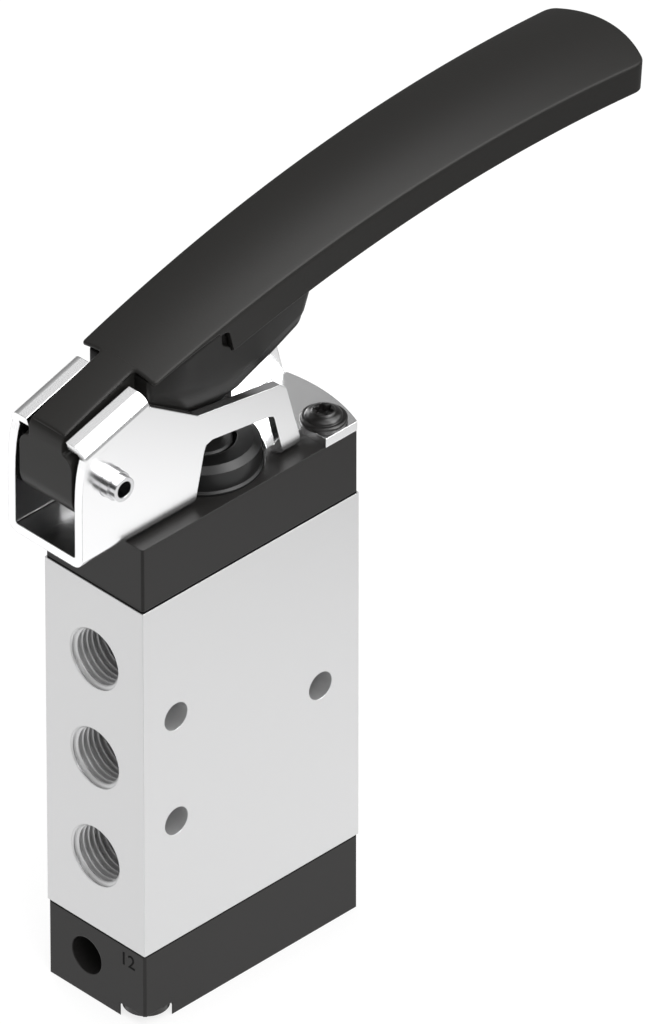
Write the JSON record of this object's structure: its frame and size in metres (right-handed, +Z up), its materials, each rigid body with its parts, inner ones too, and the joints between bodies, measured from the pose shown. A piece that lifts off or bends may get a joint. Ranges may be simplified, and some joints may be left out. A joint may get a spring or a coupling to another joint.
{
  "type": "finger lever valve",
  "caption": "Slim spool valve with threaded ports on two faces, worked by a long curved hand lever on a sheet steel bracket, with spring return.",
  "frame": {"origin": "on the spool axis, at the underside of the lower cap", "axes": "+Z up along the spool axis, towards the plunger; -X is the face with three ports, +X is where the lever's free end points; Y is across the slim body"},
  "size_m": [0.1479, 0.0272, 0.1957],
  "materials": {
    "anodised_aluminium": "satin anodised, fine grain",
    "cap_plastic": "fine moulded texture",
    "lever_plastic": "fine spark-eroded texture, satin",
    "plunger_plastic": "turned, smooth",
    "guide_plastic": "turned, satin",
    "gasket_rubber": "matt",
    "bright_sheet_steel": "bright rolled sheet, lightly brushed",
    "pin_steel": "turned",
    "spool_steel": "ground",
    "spring_steel": "drawn wire",
    "cage_plastic": "moulded",
    "black_steel": "black oxide, slightly oiled"
  },
  "bodies": {
    "valve": {"valve_body": "anodised_aluminium", "top_cap": "cap_plastic", "bottom_cap": "cap_plastic", "top_gasket": "gasket_rubber", "bottom_gasket": "gasket_rubber", "lever_bracket": "bright_sheet_steel", "pivot_pin": "pin_steel", "plunger_guide": "guide_plastic", "wiper_ring": "gasket_rubber", "plunger_o_ring": "gasket_rubber", "guide_o_ring": "gasket_rubber", "spool_seals": "gasket_rubber", "spacer_cages": "cage_plastic", "end_sleeves": "cage_plastic", "return_spring": "spring_steel", "bracket_screws": "black_steel", "bracket_washers": "black_steel", "bottom_cap_screws": "black_steel"},
    "lever": {"lever_handle": "lever_plastic", "pressure_block": "lever_plastic"},
    "stem": {"plunger": "plunger_plastic", "spool": "spool_steel", "spring_seat": "spool_steel"}
  },
  "joints": [
    {"name": "lever_pivot", "type": "hinge", "parent": "valve", "child": "lever", "pos_m": [-0.0332, 0, 0.1283], "axis": [0, 1, 0], "range_deg": [0, 8.4], "stiffness_Nm_per_rad": 1.5, "springref_deg": -25.78},
    {"name": "stem_slide", "type": "slide", "parent": "valve", "child": "stem", "axis": [0, 0, -1], "range_m": [0, 0.005], "deforming": ["return_spring"]}
  ],
  "couplings": [
    {"joint": "stem_slide", "follows": "lever_pivot", "m_per_rad": 0.0337}
  ]
}
